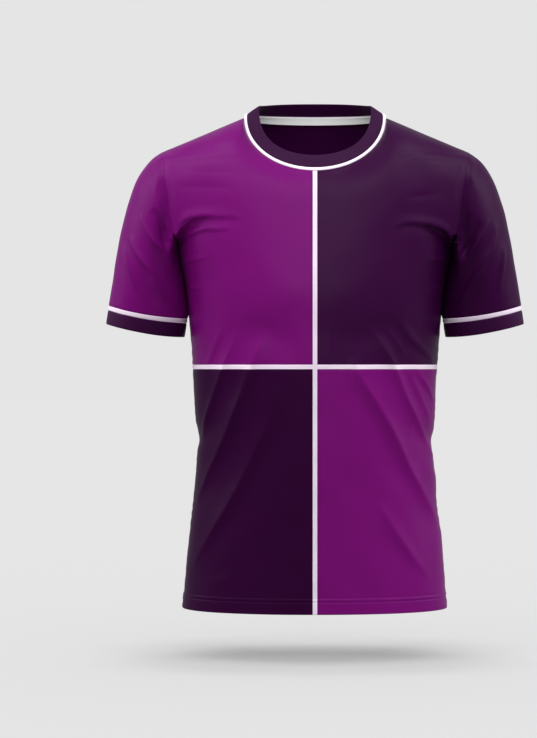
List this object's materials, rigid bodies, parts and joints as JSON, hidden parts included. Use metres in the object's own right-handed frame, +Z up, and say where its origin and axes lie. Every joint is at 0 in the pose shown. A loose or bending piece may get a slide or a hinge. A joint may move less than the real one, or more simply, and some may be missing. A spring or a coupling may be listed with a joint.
{
  "type": "soccer jersey",
  "caption": "Short-sleeved soccer jersey in two quartered colours with thin white bands, a wide rib collar, rib cuffs and an open hem, filled out with no wearer.",
  "frame": {"origin": "between the shoulders, on the middle plane, at the height where the shoulder seams meet the collar", "axes": "+Z up, the front faces -Y, +X is the wearer's left"},
  "size_m": [0.627, 0.2404, 0.7621],
  "materials": {
    "bright_cloth": "smooth polyester interlock, soft sheen",
    "dark_cloth": "smooth polyester interlock, soft sheen",
    "white_cloth": "smooth polyester interlock, matt",
    "rib_knit": "fine rib knit, matt",
    "tape": "woven cotton tape, matt"
  },
  "bodies": {
    "root": {"front_upper_right": "bright_cloth", "front_lower_left": "bright_cloth", "sleeve_right": "bright_cloth", "front_upper_left": "dark_cloth", "front_lower_right": "dark_cloth", "sleeve_left": "dark_cloth", "back": "dark_cloth", "front_band_upright": "white_cloth", "front_band_level_right": "white_cloth", "front_band_level_left": "white_cloth", "sleeve_stripe_right": "white_cloth", "sleeve_stripe_left": "white_cloth", "collar_piping": "white_cloth", "collar_rib": "rib_knit", "cuff_right": "rib_knit", "cuff_left": "rib_knit", "neck_tape": "tape"}
  },
  "joints": []
}
